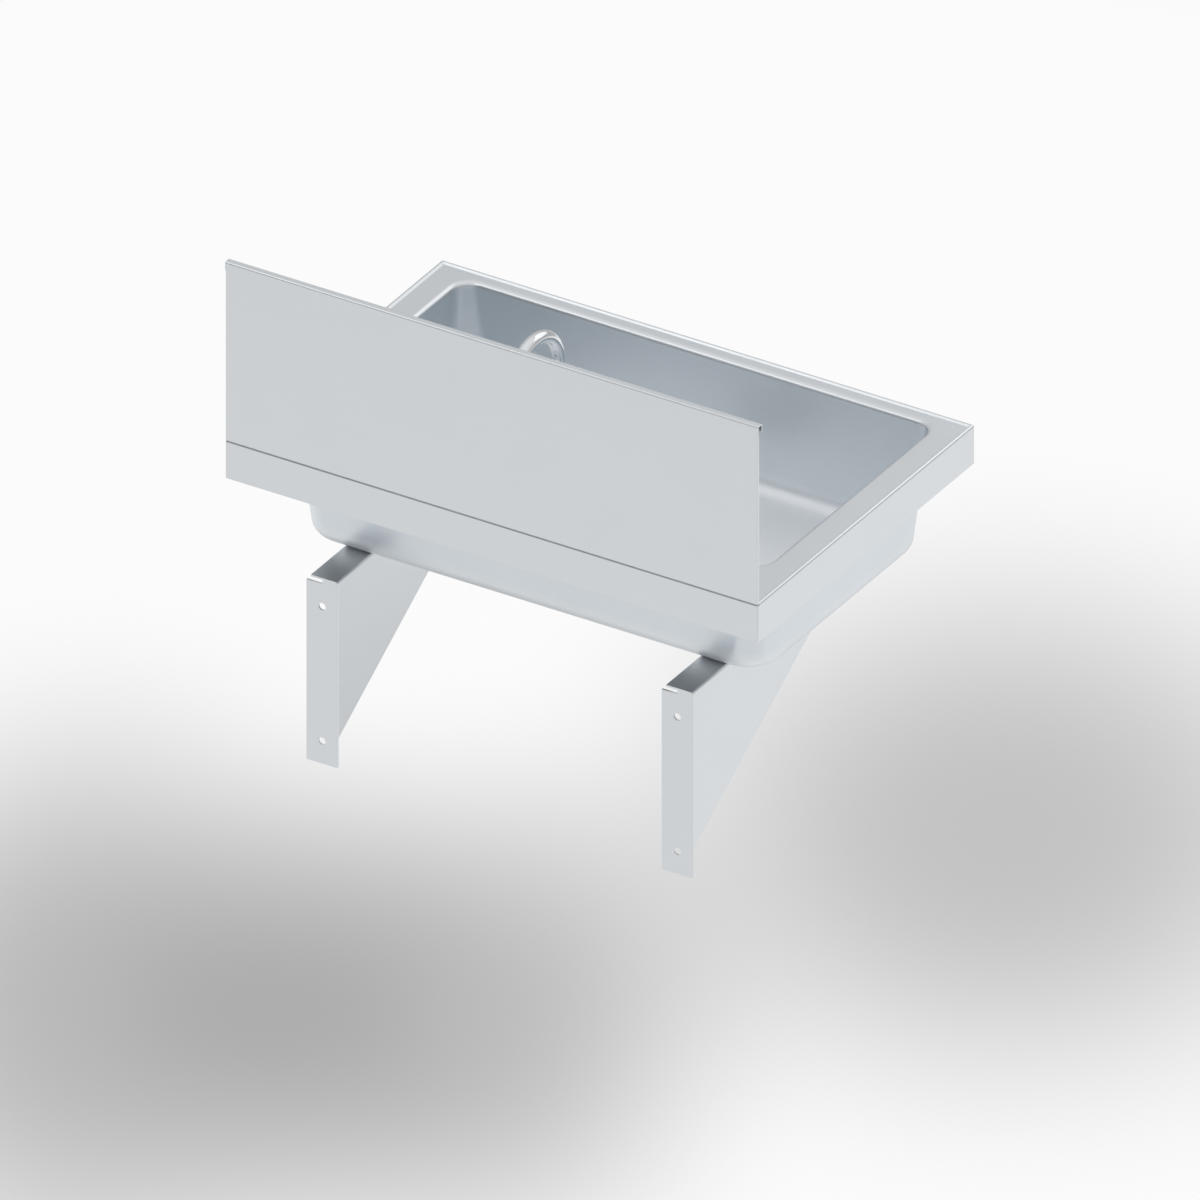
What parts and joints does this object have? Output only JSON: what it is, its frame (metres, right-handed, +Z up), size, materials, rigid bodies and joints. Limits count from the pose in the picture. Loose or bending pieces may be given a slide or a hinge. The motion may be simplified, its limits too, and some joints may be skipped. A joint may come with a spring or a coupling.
{
  "type": "wall-hung hand wash sink",
  "caption": "Wall-hung hand wash sink of folded stainless sheet, with a tall splashback, a round-cornered bowl, wall brackets, a flush waste and a swan-neck tap with quarter-turn levers.",
  "frame": {"origin": "on the wall face of the splashback and rim, in the middle of the length, at the height of the rim", "axes": "+X along the wall towards the hot lever, +Y from the wall to the user, +Z up"},
  "size_m": [0.6, 0.4, 0.5365],
  "materials": {
    "sink_steel": "satin-brushed stainless sheet",
    "bracket_steel": "satin stainless sheet",
    "polished_steel": "polished stainless steel",
    "tap_chrome": "bright chrome plate on brass",
    "brass": "machined, unplated",
    "plain_steel": "plain turned steel",
    "rubber": "black moulded rubber",
    "white_plastic": "moulded off-white plastic",
    "ceramic": "lapped alumina ceramic",
    "red_plastic": "glossy red",
    "blue_plastic": "glossy blue"
  },
  "bodies": {
    "sink": {"sink_top": "sink_steel", "bowl": "sink_steel", "splashback": "sink_steel", "left_bracket": "bracket_steel", "right_bracket": "bracket_steel", "waste_strainer": "polished_steel", "waste_screw": "polished_steel", "waste_upper_seal": "rubber", "waste_lower_seal": "rubber", "waste_body": "white_plastic", "tap_body": "tap_chrome", "tap_base_gasket": "rubber", "tap_shank": "brass", "tap_rubber_washer": "rubber", "tap_metal_washer": "plain_steel", "tap_back_nut": "brass", "spout_nut": "tap_chrome", "hot_valve_seal": "rubber", "hot_fixed_disc": "ceramic", "hot_bonnet": "brass", "cold_valve_seal": "rubber", "cold_fixed_disc": "ceramic", "cold_bonnet": "brass"},
    "spout": {"spout_tube": "tap_chrome", "spout_ferrule": "brass", "spout_rings": "rubber", "spout_slip_ring": "white_plastic", "nozzle_bush": "tap_chrome", "aerator_washer": "rubber", "aerator_insert": "white_plastic", "aerator_shell": "tap_chrome"},
    "hot_handle": {"hot_lever": "tap_chrome", "hot_lever_screw": "plain_steel", "hot_index_plug": "red_plastic", "hot_spindle": "brass", "hot_spindle_ring": "rubber", "hot_turning_disc": "ceramic"},
    "cold_handle": {"cold_lever": "tap_chrome", "cold_lever_screw": "plain_steel", "cold_index_plug": "blue_plastic", "cold_spindle": "brass", "cold_spindle_ring": "rubber", "cold_turning_disc": "ceramic"}
  },
  "joints": [
    {"name": "spout_swivel", "type": "hinge", "parent": "sink", "child": "spout", "pos_m": [0, 0.0315, 0], "axis": [0, 0, 1], "range_deg": [-60, 60]},
    {"name": "hot_turn", "type": "hinge", "parent": "sink", "child": "hot_handle", "pos_m": [0, 0.0315, 0.0332], "axis": [-1, 0, 0], "range_deg": [0, 90]},
    {"name": "cold_turn", "type": "hinge", "parent": "sink", "child": "cold_handle", "pos_m": [0, 0.0315, 0.0332], "axis": [-1, 0, 0], "range_deg": [0, 90]}
  ]
}
